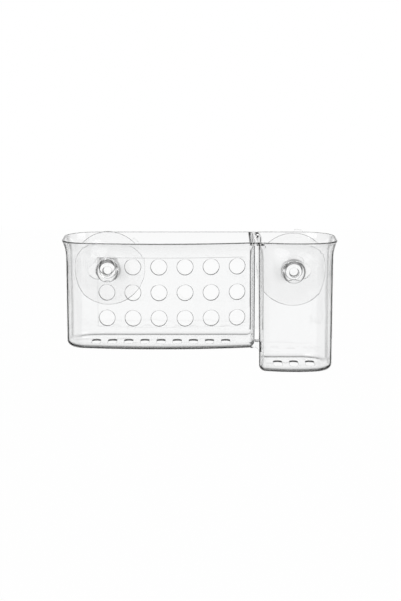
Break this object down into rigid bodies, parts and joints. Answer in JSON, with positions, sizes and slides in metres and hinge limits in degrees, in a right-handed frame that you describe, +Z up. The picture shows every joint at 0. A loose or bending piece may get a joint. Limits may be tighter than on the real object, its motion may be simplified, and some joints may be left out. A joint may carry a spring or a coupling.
{
  "type": "suction bathroom shelf",
  "caption": "Clear wall basket with a bowed, perforated tray and a deeper end cup, hung on suction cups that turn in slots of its back wall.",
  "frame": {"origin": "on the wall, midway along the basket, level with the neck slots of its back wall", "axes": "+X to the right along the basket, as seen from the room; +Y into the wall; +Z up"},
  "size_m": [0.305, 0.1156, 0.1472],
  "materials": {
    "basket_styrene": "clear, polished",
    "left_cup_vinyl": "clear, smooth",
    "right_cup_vinyl": "clear, smooth"
  },
  "bodies": {
    "basket": {"basket": "basket_styrene"},
    "left_cup": {"left_suction_cup": "left_cup_vinyl"},
    "right_cup": {"right_suction_cup": "right_cup_vinyl"}
  },
  "joints": [
    {"name": "left_cup_turn", "type": "hinge", "parent": "basket", "child": "left_cup", "pos_m": [-0.10525, 0, 0.0006], "axis": [0, 1, 0], "continuous": true},
    {"name": "right_cup_turn", "type": "hinge", "parent": "basket", "child": "right_cup", "pos_m": [0.10785, 0, -0.0009], "axis": [0, 1, 0], "continuous": true}
  ]
}
